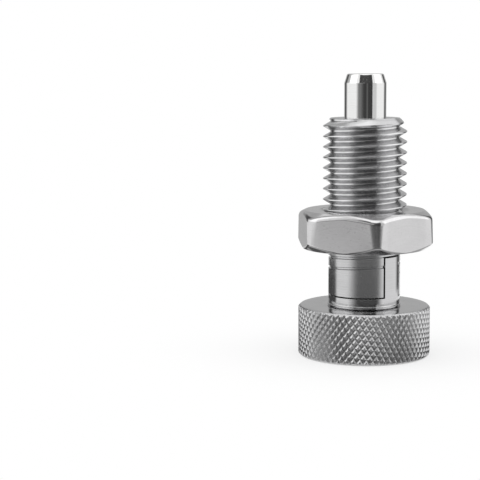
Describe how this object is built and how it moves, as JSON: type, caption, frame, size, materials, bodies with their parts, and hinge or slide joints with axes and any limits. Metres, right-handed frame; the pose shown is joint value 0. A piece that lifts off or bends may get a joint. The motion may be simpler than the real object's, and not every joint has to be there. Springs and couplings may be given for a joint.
{
  "type": "indexing plunger",
  "caption": "Spring-loaded indexing plunger: round pin in a threaded sleeve, thin hexagon locknut, and a knurled pull knob whose tongued collar gives a locked rest position.",
  "frame": {"origin": "centre of the knob's flat outer face, which the plunger stands on", "axes": "+Z along the index pin, from the knob to the pin's tip; X through the two tongues of the lock collar"},
  "size_m": [0.0194, 0.02, 0.0404],
  "materials": {
    "turned_steel": "fine turned",
    "ground_steel": "ground and polished",
    "nut_steel": "tumbled bright",
    "knurled_steel": "diamond knurled rim, turned faces",
    "inner_steel": "turned",
    "spring_wire": "drawn wire"
  },
  "bodies": {
    "sleeve": {"guide_sleeve": "turned_steel", "end_bush": "inner_steel", "compression_spring": "spring_wire"},
    "plunger": {"index_pin": "ground_steel", "lock_collar": "turned_steel", "knob": "knurled_steel"},
    "locknut": {"hex_locknut": "nut_steel"}
  },
  "joints": [
    {"name": "knob_pull", "type": "slide", "parent": "sleeve", "child": "plunger", "axis": [0, 0, -1], "range_m": [0, 0.0063], "stiffness_N_per_m": 610, "springref_m": -0.006, "deforming": ["compression_spring"]},
    {"name": "nut_travel", "type": "slide", "parent": "sleeve", "child": "locknut", "axis": [0, 0, 1], "range_m": [0, 0.012]}
  ]
}
